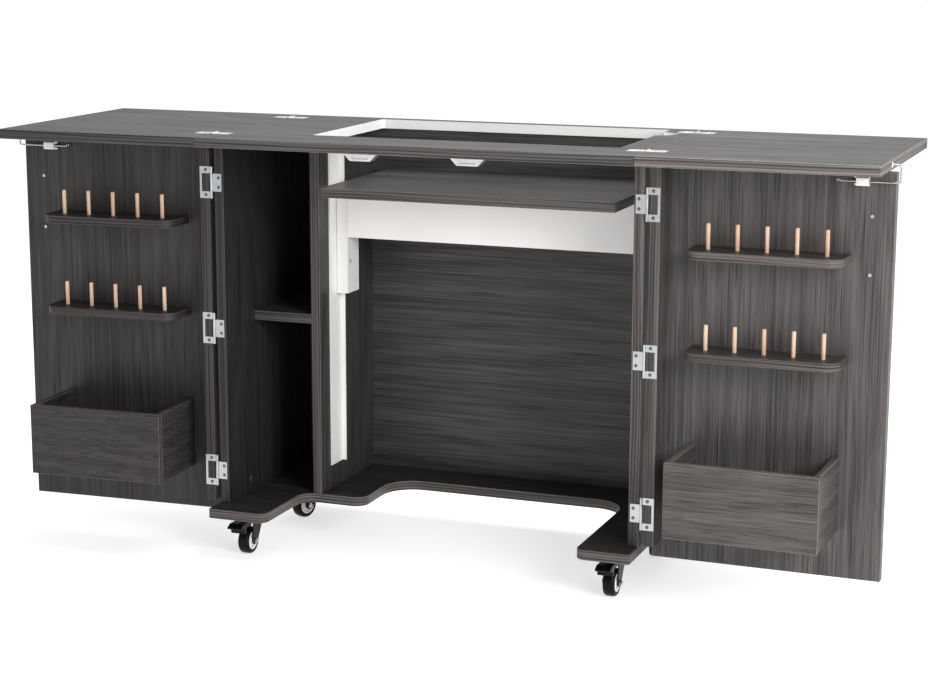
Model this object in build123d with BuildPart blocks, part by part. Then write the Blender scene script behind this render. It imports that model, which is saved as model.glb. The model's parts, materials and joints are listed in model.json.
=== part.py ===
"""Sewing table: a cabinet on casters with two fold-out leaves, two storage doors and a machine lift.

Millimetres, +X to the user's right, +Y to the back, +Z up. The origin is on the floor, in the
middle of the open table's footprint. The table is modelled open: leaves out, doors swung back
under them, machine lift at sewing height.
"""
from build123d import *
import math
import os

os.makedirs("parts", exist_ok=True)

# ---------------------------------------------------------------- driving dimensions
BOARD = 17.5            # laminated board
THIN_BOARD = 12.0       # basket boards
EASE = 0.7              # eased board edges

TOP_HEIGHT = 775.0
TOP_DEPTH = 457.0
CENTRE_HALF = 399.5     # half the width of the fixed centre top
FOLD_AXIS_X = 399.8     # seam between the centre top and a leaf
LEAF_INNER = 400.1
LEAF_OUTER = 798.0
FOLD_RISE = 0.4         # fold axis above the work surface

DOOR_FACE = 122.0       # inner face of a fully open door, behind the top's front edge
DOOR_AJAR = {"left": 2.8, "right": 1.1}     # degrees short of fully open
BASKET_DEPTH = 151.0
FRONT = -206.0          # y of the top's front edge, which centres the footprint front to back
TOP_UNDER = TOP_HEIGHT - BOARD

BASE_BOTTOM = 78.0
BASE_TOP = BASE_BOTTOM + BOARD
SIDE_OUTER = 398.5
SIDE_INNER = SIDE_OUTER - BOARD
SIDE_FRONT = FRONT + 73.8
CARCASS_BACK = FRONT + 454.0
BACK_FACE = CARCASS_BACK - BOARD

DIVIDER_LEFT = -264.5
DIVIDER_RIGHT = DIVIDER_LEFT + BOARD
DIVIDER_FRONT = FRONT + 190.0
SHELF_TOP = 436.0

CUT_LEFT = -222.0       # clear machine opening in the centre top
CUT_RIGHT = 343.0
CUT_FRONT = FRONT + 112.0
CUT_BACK = FRONT + 433.0
CUT_RADIUS = 6.0
NOTCH_RADIUS = 28.5     # finger notch on the opening's right edge
NOTCH_X = 347.0
NOTCH_Y = FRONT + 358.5
LINER = 1.0             # thickness of the band inside the machine opening
LINER_BELOW = 0.5       # its top edge sits this far below the work surface

BAY_MIDDLE = (DIVIDER_RIGHT + SIDE_INNER) / 2
PLATFORM_LEFT = -210.5
PLATFORM_RIGHT = 335.5
PLATFORM_FRONT = FRONT + 117.0
PLATFORM_BACK = FRONT + 429.0
PLATFORM_TOP = 681.0
PLATFORM_UNDER = PLATFORM_TOP - BOARD

SHEET = 2.5             # steel sheet of the lift rails and carriages
RAIL_FRONT = FRONT + 233.0
RAIL_BACK = FRONT + 284.0
RAIL_BOTTOM = 141.0
RAIL_LIP = 10.0
CARRIAGE_FRONT = FRONT + 262.0
CARRIAGE_BACK = FRONT + 313.0
CARRIAGE_NEAR = 3.5     # the carriage starts this far from the bay's wall
CARRIAGE_FAR = 25.0     # and ends this far from it
CARRIAGE_BOTTOM = 466.0
CARRIAGE_TOP = 662.0
GLIDE_PLAY = 0.5        # gap between the glides and the rail's lip
GLIDE_BOTTOMS = (480.0, 615.0)
GLIDE_TALL = 30.0
APRON_BOTTOM = 571.5

HINGE_X = 403.6         # door hinge axis, from the middle of the table
HINGE_Y = FRONT + 72.4
HINGE_HEIGHTS = (156.0, 421.5, 687.0)
HINGE_SHEET = 1.0
KNUCKLE_R = 2.5
HINGE_PIN_R = 1.2
FRAME_TALL = 57.0
FRAME_WIDE = 22.6
PLATE_TALL = 32.0
PLATE_WIDE = 19.6

DOOR_NEAR = 2 * HINGE_X - SIDE_OUTER         # door edge next to the hinge
DOOR_FAR = 804.0
DOOR_BOTTOM = 68.5
DOOR_TOP = 752.5
DOOR_INSIDE = FRONT + DOOR_FACE
DOOR_OUTSIDE = DOOR_INSIDE + BOARD
RETURN_FRONT = FRONT + 73.5
RETURN_BOTTOM = BASE_TOP + 3.0

SPOOL_NEAR = 474.5
SPOOL_FAR = 736.5
SPOOL_DEPTH = 76.0
SPOOL_SHELF = 14.0
SPOOL_CORNER = 28.0
SPOOL_TOPS = (617.0, 447.0)
PEG_R = 3.5
PEG_TALL = 43.5
PEG_TENON_R = 2.6       # the peg is turned down where it is glued into the shelf
PEG_SUNK = 9.0
PEG_COUNT = 5
PEG_PITCH = 49.5
PEG_FROM_DOOR = 40.7

BASKET_NEAR = 471.0
BASKET_FAR = 730.0
BASKET_BOTTOM = 148.5
BASKET_TOP = 276.7

WIRE_R = 1.5
WIRE_Z = 737.0
WIRE_TIP_Z = 766.0
WIRE_NEAR = 715.0
WIRE_LEG = 812.0
WIRE_TIP = 799.8
WIRE_BEND = 3.5
WIRE_OFF_DOOR = {"left": 4.5, "right": 9.5}
CLIP_NEAR = 741.0
CLIP_FAR = 761.0
CLIP_PLAY = 0.3
HOOK_SOCKET_R = 2.5
HOOK_SOCKET_DEEP = 14.0

HANDLE_X = 767.0
HANDLE_BOTTOM = 584.0
HANDLE_PITCH = 96.0
HANDLE_OUT = 23.0
HANDLE_R = 5.0
SCREW_R = 2.0
SCREW_HEAD_R = 2.9
SCREW_HEAD = 1.4
SCREW_BITE = 10.0       # how far a screw reaches into the handle

CATCH_X = {"left": -93.0, "right": 103.0}
CATCH_TOP_HALF = 33.0
CATCH_LOW_HALF = 19.0
CATCH_TALL = 14.5
CATCH_FRONT = FRONT + 23.6
CATCH_DEEP = 20.0

CASTER_X = 350.0
WHEEL_R = 25.0
WHEEL_WIDE = 22.0
CASTER_TRAIL = 20.0
AXLE_R = 3.0
FRONT_CASTERS_Y = FRONT + 107.0
REAR_CASTERS_Y = FRONT + 365.0
# name: side, y of the swivel, angle turned about it, whether it has a brake pedal
CASTERS = {
    "front_left": (-1, FRONT_CASTERS_Y, 0.0, True),
    "front_right": (1, FRONT_CASTERS_Y, 0.0, True),
    "rear_left": (-1, REAR_CASTERS_Y, -20.0, False),
    "rear_right": (1, REAR_CASTERS_Y, 14.0, False),
}
PRESS_PLAY = 0.02       # a pin fixed in its knuckle
RUNNING_PLAY = 0.08     # a pin that turns in its knuckle
SIDES = {"left": -1, "right": 1}


# ---------------------------------------------------------------- helpers
def write_step(part, name):
    """Label a finished part and write its STEP file."""
    part.label = name
    export_step(part, f"parts/{name}.step")


def save(piece, name):
    """Write a piece that is built where it stands."""
    write_step(piece.part, name)


def save_on_door(piece, side_name, name):
    """Write a piece built on a fully open door, swung with the door to where the door stands."""
    side = SIDES[side_name]
    hinge = Axis((side * HINGE_X, HINGE_Y, 0), (0, 0, -side))
    write_step(piece.part.rotate(hinge, DOOR_AJAR[side_name]), f"{side_name}_{name}")


def add_block(x0, x1, y0, y1, z0, z1, mode=Mode.ADD):
    """Add or cut a box between two corners in the current part."""
    with Locations(((x0 + x1) / 2, (y0 + y1) / 2, (z0 + z1) / 2)):
        return Box(abs(x1 - x0), abs(y1 - y0), z1 - z0, mode=mode)


def eased_board(x0, x1, y0, y1, z0, z1):
    """A plain board with eased edges."""
    with BuildPart() as piece:
        add_block(x0, x1, y0, y1, z0, z1)
        chamfer(piece.edges(), EASE)
    return piece


def make_board(name, *corners):
    """Save a plain board with eased edges."""
    save(eased_board(*corners), name)


def make_door_board(side_name, name, *corners):
    """Save a plain board that belongs to a door."""
    save_on_door(eased_board(*corners), side_name, name)


# ---------------------------------------------------------------- carcass
def make_base_panel():
    """Bottom board: two feet reach forward and the knee side is cut back in one flowing line."""
    foot_front = FRONT + 23.5
    left_foot, right_foot = -285.0, 301.0
    divider_edge, knee_edge, knee_left = FRONT + 191.5, FRONT + 345.0, -163.0
    foot_round, inner_round, nose_round, knee_round = 18.0, 30.0, 25.0, 60.0
    with BuildPart() as piece:
        with BuildSketch(Plane.XY.offset(BASE_BOTTOM)) as outline:
            with BuildLine():
                FilletPolyline(
                    (-SIDE_OUTER, CARCASS_BACK),
                    (-SIDE_OUTER, foot_front),
                    (left_foot, foot_front),
                    (left_foot, divider_edge),
                    (knee_left, divider_edge),
                    (knee_left, knee_edge),
                    (right_foot, knee_edge),
                    (right_foot, foot_front),
                    (SIDE_OUTER, foot_front),
                    (SIDE_OUTER, CARCASS_BACK),
                    radius=[4.0, foot_round, inner_round, nose_round, knee_round, knee_round,
                            foot_round, 4.0],
                )
                Line((SIDE_OUTER, CARCASS_BACK), (-SIDE_OUTER, CARCASS_BACK))
            make_face()
        extrude(amount=BOARD)
        chamfer(piece.faces().filter_by(Axis.Z).edges(), EASE)
    save(piece, "base_panel")


def add_cutout(grow, depth, level, mode):
    """The machine opening with its finger notch, grown all round, cut or added downwards."""
    with BuildSketch(Plane.XY.offset(level)) as outline:
        with Locations(((CUT_LEFT + CUT_RIGHT) / 2, (CUT_FRONT + CUT_BACK) / 2)):
            RectangleRounded(
                CUT_RIGHT - CUT_LEFT + 2 * grow, CUT_BACK - CUT_FRONT + 2 * grow, CUT_RADIUS + grow
            )
        with Locations((NOTCH_X, NOTCH_Y)):
            Circle(NOTCH_RADIUS + grow)
    extrude(outline.sketch, amount=-depth, mode=mode)


FOLD_HINGES_Y = (FRONT + 80.6, FRONT + 400.9)
FOLD_PLATE_X = 33.0
FOLD_PLATE_Y = 28.0
FOLD_PLATE_T = 1.2
FOLD_KNUCKLE_R = 1.6
FOLD_GROOVE = 2.1


def cut_fold_pockets(side, edge):
    """Shallow pockets for the two fold hinges, and a groove for their knuckles at the seam."""
    away = 1 if abs(edge) > FOLD_AXIS_X else -1
    for y in FOLD_HINGES_Y:
        reach = side * (FOLD_AXIS_X + away * (FOLD_PLATE_X + 0.3))
        add_block(side * FOLD_AXIS_X, reach, y - FOLD_PLATE_Y / 2 - 0.3, y + FOLD_PLATE_Y / 2 + 0.3,
                  TOP_HEIGHT - FOLD_PLATE_T, TOP_HEIGHT + 1, mode=Mode.SUBTRACT)
        groove = side * (FOLD_AXIS_X + away * FOLD_GROOVE)
        add_block(side * (FOLD_AXIS_X - away), groove, y - FOLD_PLATE_Y / 2 - 0.3,
                  y + FOLD_PLATE_Y / 2 + 0.3, TOP_HEIGHT - FOLD_GROOVE, TOP_HEIGHT + 1,
                  mode=Mode.SUBTRACT)


def make_centre_top():
    with BuildPart() as piece:
        add_block(-CENTRE_HALF, CENTRE_HALF, FRONT, FRONT + TOP_DEPTH, TOP_UNDER, TOP_HEIGHT)
        chamfer(piece.edges(), EASE)
        add_cutout(LINER, BOARD + 1, TOP_HEIGHT + 0.5, Mode.SUBTRACT)
        for side in SIDES.values():
            cut_fold_pockets(side, side * CENTRE_HALF)
    save(piece, "centre_top")


def make_opening_liner():
    """White band round the inside of the machine opening."""
    with BuildPart() as piece:
        add_cutout(LINER, BOARD - LINER_BELOW, TOP_HEIGHT - LINER_BELOW, Mode.ADD)
        add_cutout(0.0, BOARD + 1, TOP_HEIGHT + 0.5, Mode.SUBTRACT)
    save(piece, "opening_liner")


def hook_y(side_name):
    """Where a support wire's hook meets the leaf's end, with the door where it stands."""
    ajar = math.radians(DOOR_AJAR[side_name])
    reach = WIRE_TIP - HINGE_X
    behind = DOOR_INSIDE - WIRE_OFF_DOOR[side_name] - HINGE_Y
    return HINGE_Y + behind * math.cos(ajar) - reach * math.sin(ajar)


def make_leaf(side_name, side):
    """Fold-out leaf, with a blind socket in its end for the support wire's hook."""
    with BuildPart() as piece:
        add_block(side * LEAF_INNER, side * LEAF_OUTER, FRONT, FRONT + TOP_DEPTH, TOP_UNDER, TOP_HEIGHT)
        chamfer(piece.edges(), EASE)
        cut_fold_pockets(side, side * LEAF_INNER)
        end = Plane(origin=(side * LEAF_OUTER, hook_y(side_name), WIRE_TIP_Z), z_dir=(side, 0, 0))
        with Locations(end):
            Hole(HOOK_SOCKET_R, depth=HOOK_SOCKET_DEEP)
    save(piece, f"{side_name}_leaf_top")


def make_carcass():
    make_base_panel()
    for side_name, side in SIDES.items():
        make_board(f"{side_name}_side_panel", side * SIDE_INNER, side * SIDE_OUTER, SIDE_FRONT,
                   CARCASS_BACK, BASE_TOP, TOP_UNDER)
    make_board("divider_panel", DIVIDER_LEFT, DIVIDER_RIGHT, DIVIDER_FRONT, BACK_FACE, BASE_TOP, TOP_UNDER)
    make_board("back_panel", -SIDE_INNER, SIDE_INNER, BACK_FACE, CARCASS_BACK, BASE_TOP, TOP_UNDER)
    make_board("compartment_shelf", -SIDE_INNER, DIVIDER_LEFT, DIVIDER_FRONT, BACK_FACE,
               SHELF_TOP - BOARD, SHELF_TOP)
    make_centre_top()
    make_opening_liner()


# ---------------------------------------------------------------- fold hinges of the leaves
FOLD_PIN_R = 0.8
FOLD_MIDDLE = 11.0      # length of the middle knuckle
FOLD_END_GAP = 0.4


def fold_rod(side, y_low, y_high, radius, mode=Mode.ADD):
    """Round bar along a leaf's fold axis."""
    axis = Plane(origin=(side * FOLD_AXIS_X, y_low, TOP_HEIGHT + FOLD_RISE), z_dir=(0, 1, 0))
    with BuildSketch(axis) as ring:
        Circle(radius)
    extrude(ring.sketch, amount=y_high - y_low, mode=mode)


def add_fold_plate(side, y, away):
    """One flush plate of a fold hinge; away is -1 on the centre top and 1 on the leaf."""
    half = FOLD_PLATE_Y / 2
    add_block(side * FOLD_AXIS_X, side * (FOLD_AXIS_X + away * FOLD_PLATE_X), y - half, y + half,
              TOP_HEIGHT - FOLD_PLATE_T, TOP_HEIGHT)
    clear = side * (FOLD_AXIS_X + away * (FOLD_KNUCKLE_R + FOLD_END_GAP))
    if away < 0:
        stretches = ((y - half, y - FOLD_MIDDLE / 2), (y + FOLD_MIDDLE / 2, y + half))
    else:
        end = FOLD_MIDDLE / 2 + FOLD_END_GAP
        stretches = ((y - end, y + end),)
    for low, high in stretches:
        add_block(side * FOLD_AXIS_X, clear, low, high, TOP_HEIGHT - 2, TOP_HEIGHT + 1,
                  mode=Mode.SUBTRACT)


def make_fold_hinges():
    """Flush hinges: the centre top's plates carry the middle knuckles and the pins."""
    half = FOLD_PLATE_Y / 2
    spots = [(side, y) for side in SIDES.values() for y in FOLD_HINGES_Y]
    with BuildPart() as fixed:
        for side, y in spots:
            add_fold_plate(side, y, -1)
            middle = (y - FOLD_MIDDLE / 2, y + FOLD_MIDDLE / 2)
            fold_rod(side, *middle, FOLD_KNUCKLE_R)
            # nothing of the plate reaches past the seam but its round knuckle
            fold_rod(side, *middle, FOLD_PIN_R + PRESS_PLAY, Mode.SUBTRACT)
            fold_rod(side, y - half, y + half, FOLD_PIN_R)
    save(fixed, "fold_hinge_centre_plates")
    for side_name, side in SIDES.items():
        with BuildPart() as moving:
            for y in FOLD_HINGES_Y:
                add_fold_plate(side, y, 1)
                near = FOLD_MIDDLE / 2 + FOLD_END_GAP
                for low, high in ((y - half, y - near), (y + near, y + half)):
                    fold_rod(side, low, high, FOLD_KNUCKLE_R)
                    fold_rod(side, low, high, FOLD_PIN_R + RUNNING_PLAY, Mode.SUBTRACT)
        save(moving, f"{side_name}_fold_hinge_plates")


# ---------------------------------------------------------------- door hinges
KNUCKLE_GAP = 0.4
FRAME_BAND = 4.0        # width of the frame plate's far edge


def hinge_rod(side, z_low, z_high, radius, mode=Mode.ADD):
    """Upright round bar on a door's hinge axis."""
    with BuildSketch(Plane(origin=(side * HINGE_X, HINGE_Y, z_low))) as ring:
        Circle(radius)
    extrude(ring.sketch, amount=z_high - z_low, mode=mode)


def make_door_hinges():
    """Door hinges: a small plate on the cabinet nests in the window of the door's frame plate."""
    with BuildPart() as fixed:
        for side in SIDES.values():
            for z in HINGE_HEIGHTS:
                low, high = z - PLATE_TALL / 2, z + PLATE_TALL / 2
                add_block(side * HINGE_X, side * (HINGE_X - PLATE_WIDE), SIDE_FRONT - HINGE_SHEET,
                          SIDE_FRONT, low, high)
                hinge_rod(side, low, high, KNUCKLE_R)
                hinge_rod(side, low, high, HINGE_PIN_R + PRESS_PLAY, Mode.SUBTRACT)
                hinge_rod(side, z - FRAME_TALL / 2, z + FRAME_TALL / 2, HINGE_PIN_R)
    save(fixed, "door_hinge_cabinet_plates")
    window = PLATE_TALL / 2 + KNUCKLE_GAP
    for side_name, side in SIDES.items():
        with BuildPart() as moving:
            for z in HINGE_HEIGHTS:
                add_block(side * HINGE_X, side * (HINGE_X + FRAME_WIDE), RETURN_FRONT - HINGE_SHEET,
                          RETURN_FRONT, z - FRAME_TALL / 2, z + FRAME_TALL / 2)
                hinge_rod(side, z - FRAME_TALL / 2, z + FRAME_TALL / 2, KNUCKLE_R)
                add_block(side * (HINGE_X - 3), side * (HINGE_X + FRAME_WIDE - FRAME_BAND), HINGE_Y - 5,
                          HINGE_Y + 5, z - window, z + window, mode=Mode.SUBTRACT)
                hinge_rod(side, z - FRAME_TALL, z + FRAME_TALL, HINGE_PIN_R + RUNNING_PLAY,
                          Mode.SUBTRACT)
        save_on_door(moving, side_name, "door_hinge_frames")


# ---------------------------------------------------------------- doors and what they carry
def make_door_boards(side_name, side):
    """Door panel, and the return board that stands it off the cabinet's side."""
    with BuildPart() as panel:
        add_block(side * DOOR_NEAR, side * DOOR_FAR, DOOR_INSIDE, DOOR_OUTSIDE, DOOR_BOTTOM, DOOR_TOP)
        chamfer(panel.edges(), EASE)
        for z in (HANDLE_BOTTOM, HANDLE_BOTTOM + HANDLE_PITCH):
            with Locations(Plane(origin=(side * HANDLE_X, DOOR_INSIDE, z), z_dir=(0, -1, 0))):
                Hole(SCREW_R + PRESS_PLAY, depth=BOARD + 1)
    save_on_door(panel, side_name, "door_panel")
    make_door_board(side_name, "door_return", side * DOOR_NEAR, side * (DOOR_NEAR + BOARD), RETURN_FRONT,
                    DOOR_INSIDE, RETURN_BOTTOM, DOOR_TOP)


def peg_positions(side):
    middle = (SPOOL_NEAR + SPOOL_FAR) / 2
    y = DOOR_INSIDE - PEG_FROM_DOOR
    return [(side * (middle + PEG_PITCH * (n - (PEG_COUNT - 1) / 2)), y) for n in range(PEG_COUNT)]


def make_spool_racks(side_name, side):
    """Two shelves with rounded front corners, and five round pegs standing in each."""
    tip_round = 1.6
    with BuildPart() as shelves:
        for top in SPOOL_TOPS:
            add_block(side * SPOOL_NEAR, side * SPOOL_FAR, DOOR_INSIDE - SPOOL_DEPTH, DOOR_INSIDE,
                      top - SPOOL_SHELF, top)
        fillet(shelves.edges().filter_by(Axis.Z).group_by(Axis.Y)[0], SPOOL_CORNER)
        chamfer(shelves.faces().filter_by(Axis.Z).edges(), EASE)
        for top in SPOOL_TOPS:
            with Locations(Plane.XY.offset(top)):
                with Locations(*peg_positions(side)):
                    Hole(PEG_TENON_R, depth=PEG_SUNK)
    save_on_door(shelves, side_name, "spool_shelves")
    with BuildPart() as pegs:
        for top in SPOOL_TOPS:
            with BuildSketch(Plane.XY.offset(top - PEG_SUNK)):
                with Locations(*peg_positions(side)):
                    Circle(PEG_TENON_R)
            extrude(amount=PEG_SUNK)
            with BuildSketch(Plane.XY.offset(top)):
                with Locations(*peg_positions(side)):
                    Circle(PEG_R)
            extrude(amount=PEG_TALL)
            tips = pegs.faces().filter_by(Plane.XY).filter_by_position(
                Axis.Z, top + PEG_TALL - 1, top + PEG_TALL + 1
            )
            fillet(tips.edges(), tip_round)
    save_on_door(pegs, side_name, "spool_pegs")


def make_basket(side_name, side):
    """Open-topped basket of four boards, fixed to the door's inner face."""
    front = DOOR_INSIDE - BASKET_DEPTH
    inner = front + THIN_BOARD
    make_door_board(side_name, "basket_front", side * BASKET_NEAR, side * BASKET_FAR, front, inner,
                    BASKET_BOTTOM, BASKET_TOP)
    with BuildPart() as ends:
        for x in (BASKET_NEAR, BASKET_FAR - THIN_BOARD):
            add_block(side * x, side * (x + THIN_BOARD), inner, DOOR_INSIDE, BASKET_BOTTOM, BASKET_TOP)
        chamfer(ends.edges(), EASE)
    save_on_door(ends, side_name, "basket_ends")
    make_door_board(side_name, "basket_bottom", side * (BASKET_NEAR + THIN_BOARD),
                    side * (BASKET_FAR - THIN_BOARD), inner, DOOR_INSIDE, BASKET_BOTTOM,
                    BASKET_BOTTOM + THIN_BOARD)


def make_wire(side_name, side):
    """Round wire: a straight run held in a clip, a leg up past the leaf's end and a short hook."""
    y = DOOR_INSIDE - WIRE_OFF_DOOR[side_name]
    with BuildPart() as wire:
        with BuildLine() as route:
            FilletPolyline(
                (side * WIRE_NEAR, y, WIRE_Z),
                (side * WIRE_LEG, y, WIRE_Z),
                (side * WIRE_LEG, y, WIRE_TIP_Z),
                (side * WIRE_TIP, y, WIRE_TIP_Z),
                radius=WIRE_BEND,
            )
        with BuildSketch(Plane(origin=(side * WIRE_NEAR, y, WIRE_Z), z_dir=(side, 0, 0))):
            Circle(WIRE_R)
        sweep(path=route.wire())
    save_on_door(wire, side_name, "support_wire")


def make_wire_clip(side_name, side):
    """Plastic clip on the door: a block with a bore for the wire, and two small ears."""
    reach = WIRE_OFF_DOOR[side_name] + 4.5
    with BuildPart() as clip:
        add_block(side * CLIP_NEAR, side * CLIP_FAR, DOOR_INSIDE - reach, DOOR_INSIDE, WIRE_Z - 7,
                  WIRE_Z + 7)
        fillet(clip.edges().filter_by(Axis.X).group_by(Axis.Y)[0], 3.0)
        for z in (WIRE_Z - 7, WIRE_Z + 4):
            add_block(side * (CLIP_NEAR - 5), side * (CLIP_NEAR + 1), DOOR_INSIDE - 3.5, DOOR_INSIDE,
                      z, z + 3)
        bore = Plane(
            origin=(side * (CLIP_FAR + 1), DOOR_INSIDE - WIRE_OFF_DOOR[side_name], WIRE_Z),
            z_dir=(side, 0, 0),
        )
        with Locations(bore):
            Hole(WIRE_R + CLIP_PLAY)
    save_on_door(clip, side_name, "wire_clip")


def make_handle(side_name, side):
    """Bar pull on the door's outer face, held by two screws put in from the inner face."""
    heights = (HANDLE_BOTTOM, HANDLE_BOTTOM + HANDLE_PITCH)
    grip_y = DOOR_OUTSIDE + HANDLE_OUT
    with BuildPart() as handle:
        with BuildLine() as route:
            FilletPolyline(
                (side * HANDLE_X, DOOR_OUTSIDE, heights[0]),
                (side * HANDLE_X, grip_y, heights[0]),
                (side * HANDLE_X, grip_y, heights[1]),
                (side * HANDLE_X, DOOR_OUTSIDE, heights[1]),
                radius=10.0,
            )
        with BuildSketch(Plane(origin=(side * HANDLE_X, DOOR_OUTSIDE, heights[0]), z_dir=(0, 1, 0))):
            Circle(HANDLE_R)
        sweep(path=route.wire())
        for z in heights:
            with Locations(Plane(origin=(side * HANDLE_X, DOOR_OUTSIDE, z), z_dir=(0, -1, 0))):
                Hole(SCREW_R + PRESS_PLAY, depth=SCREW_BITE + 2)
    save_on_door(handle, side_name, "door_handle")
    with BuildPart() as screws:
        for z in heights:
            head = Plane(origin=(side * HANDLE_X, DOOR_INSIDE - SCREW_HEAD, z), z_dir=(0, 1, 0))
            with BuildSketch(head):
                Circle(SCREW_HEAD_R)
            extrude(amount=SCREW_HEAD)
            with BuildSketch(head):
                Circle(SCREW_R)
            extrude(amount=SCREW_HEAD + BOARD + SCREW_BITE)
    save_on_door(screws, side_name, "handle_screws")


def make_doors():
    for side_name, side in SIDES.items():
        make_door_boards(side_name, side)
        make_spool_racks(side_name, side)
        make_basket(side_name, side)
        make_wire(side_name, side)
        make_wire_clip(side_name, side)
        make_handle(side_name, side)


def make_door_catches():
    """Magnetic catches under the top's front edge, with sloping ends and a shallow recess."""
    slot_half, slot_low, slot_high = 15.0, 11.0, 4.0
    with BuildPart() as catches:
        for middle in CATCH_X.values():
            with BuildSketch(Plane(origin=(middle, CATCH_FRONT, TOP_UNDER), x_dir=(1, 0, 0),
                                   z_dir=(0, -1, 0))) as face:
                with BuildLine():
                    Polyline(
                        (-CATCH_TOP_HALF, 0), (CATCH_TOP_HALF, 0), (CATCH_LOW_HALF, -CATCH_TALL),
                        (-CATCH_LOW_HALF, -CATCH_TALL), (-CATCH_TOP_HALF, 0),
                    )
                make_face()
            extrude(face.sketch, amount=-CATCH_DEEP)
            add_block(middle - slot_half, middle + slot_half, CATCH_FRONT - 1, CATCH_FRONT + 3,
                      TOP_UNDER - slot_low, TOP_UNDER - slot_high, mode=Mode.SUBTRACT)
    save(catches, "door_catches")


# ---------------------------------------------------------------- machine lift
BAY_WALLS = ((DIVIDER_RIGHT, 1), (SIDE_INNER, -1))     # x of each wall, and the way into the bay


def make_lift_rails():
    """Two upright steel angles on the bay's walls: a flange, and a lip that stands into the bay."""
    with BuildPart() as rails:
        for wall, inward in BAY_WALLS:
            add_block(wall, wall + inward * SHEET, RAIL_FRONT, RAIL_BACK, RAIL_BOTTOM, TOP_UNDER)
            add_block(wall, wall + inward * RAIL_LIP, RAIL_BACK - SHEET, RAIL_BACK, RAIL_BOTTOM, TOP_UNDER)
    save(rails, "lift_rails")


def make_lift_carriages():
    """Two steel channels, open towards the bay's walls, that ride on the rails."""
    hole_r, hole_y, hole_z = 4.5, FRONT + 277.0, 525.0
    tab_wide, tab_tall = 12.0, 6.0
    with BuildPart() as carriages:
        for wall, inward in BAY_WALLS:
            near, far = wall + inward * CARRIAGE_NEAR, wall + inward * CARRIAGE_FAR
            add_block(near, far, CARRIAGE_FRONT, CARRIAGE_BACK, CARRIAGE_BOTTOM, CARRIAGE_TOP)
            add_block(near, far - inward * SHEET, CARRIAGE_FRONT + SHEET, CARRIAGE_BACK - SHEET,
                      CARRIAGE_BOTTOM, CARRIAGE_TOP, mode=Mode.SUBTRACT)
            # stop tab pressed out at the foot of the front web
            add_block(near, near + inward * tab_wide, CARRIAGE_FRONT - SHEET, CARRIAGE_FRONT,
                      CARRIAGE_BOTTOM, CARRIAGE_BOTTOM + tab_tall)
            face = Plane(origin=(far, hole_y, hole_z), z_dir=(inward, 0, 0))
            with Locations(face):
                Hole(hole_r, depth=2 * SHEET)
    save(carriages, "lift_carriages")


def make_lift_glides():
    """Four nylon blocks in the carriages, each slotted for the rail's lip."""
    with BuildPart() as glides:
        for wall, inward in BAY_WALLS:
            near = wall + inward * (SHEET + GLIDE_PLAY)
            far = wall + inward * (CARRIAGE_FAR - SHEET)
            for low in GLIDE_BOTTOMS:
                high = low + GLIDE_TALL
                add_block(near, far, CARRIAGE_FRONT + SHEET, CARRIAGE_BACK - SHEET, low, high)
                add_block(near, wall + inward * (RAIL_LIP + GLIDE_PLAY), RAIL_BACK - SHEET - GLIDE_PLAY,
                          RAIL_BACK + GLIDE_PLAY, low, high, mode=Mode.SUBTRACT)
    save(glides, "lift_glides")


def make_lift():
    make_lift_rails()
    make_lift_carriages()
    make_lift_glides()
    make_board("lift_platform", PLATFORM_LEFT, PLATFORM_RIGHT, PLATFORM_FRONT, PLATFORM_BACK,
               PLATFORM_UNDER, PLATFORM_TOP)
    make_board("lift_apron", DIVIDER_RIGHT + CARRIAGE_FAR, SIDE_INNER - CARRIAGE_FAR, CARRIAGE_FRONT,
               CARRIAGE_FRONT + BOARD, APRON_BOTTOM, PLATFORM_UNDER)


# ---------------------------------------------------------------- casters
PLATE_HALF = 22.0
PLATE_SHEET = 2.5
FORK_SHEET = 2.0
FORK_TOP = BASE_BOTTOM - PLATE_SHEET - 2.0      # the ball race takes the gap above the fork
FORK_GAP = WHEEL_WIDE / 2 + 1.0
KINGPIN_R = 7.0
KINGPIN_HEAD_R = 9.0
KINGPIN_HEAD = 1.2
CROWN_HALF = 19.0
PEDAL_Y = -17.5         # brake pedal's pivot, in front of the swivel
PEDAL_Z = 61.3
TRUNNION_R = 2.0


def caster_frame(side, y, turn):
    """Plane on the floor under a caster's swivel, its Y axis pointing away from the wheel."""
    angle = math.radians(turn)
    return Plane(origin=(side * CASTER_X, y, 0), x_dir=(math.cos(angle), math.sin(angle), 0),
                 z_dir=(0, 0, 1))


def upright_plane(frame, across, along=0.0, height=0.0):
    """Plane whose X runs along a caster, whose Y is up and whose normal is the wheel's axle."""
    return Plane(origin=frame.from_local_coords(Vector(across, along, height)), x_dir=frame.y_dir,
                 z_dir=frame.x_dir)


def make_caster_plates():
    """Square mounting plates under the base, each with a headed kingpin that holds the fork."""
    corner = 3.0
    shank = BASE_BOTTOM - PLATE_SHEET - FORK_TOP + FORK_SHEET + 0.2
    with BuildPart() as plates:
        for side, y, _, _ in CASTERS.values():
            add_block(side * CASTER_X - PLATE_HALF, side * CASTER_X + PLATE_HALF, y - PLATE_HALF,
                      y + PLATE_HALF, BASE_BOTTOM - PLATE_SHEET, BASE_BOTTOM)
        chamfer(plates.edges().filter_by(Axis.Z), corner)
        spots = [(side * CASTER_X, y) for side, y, _, _ in CASTERS.values()]
        with BuildSketch(Plane.XY.offset(BASE_BOTTOM - PLATE_SHEET)):
            with Locations(*spots):
                Circle(KINGPIN_R)
        extrude(amount=-shank)
        with BuildSketch(Plane.XY.offset(BASE_BOTTOM - PLATE_SHEET - shank)):
            with Locations(*spots):
                Circle(KINGPIN_HEAD_R)
        extrude(amount=-KINGPIN_HEAD)
    save(plates, "caster_plates")


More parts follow.
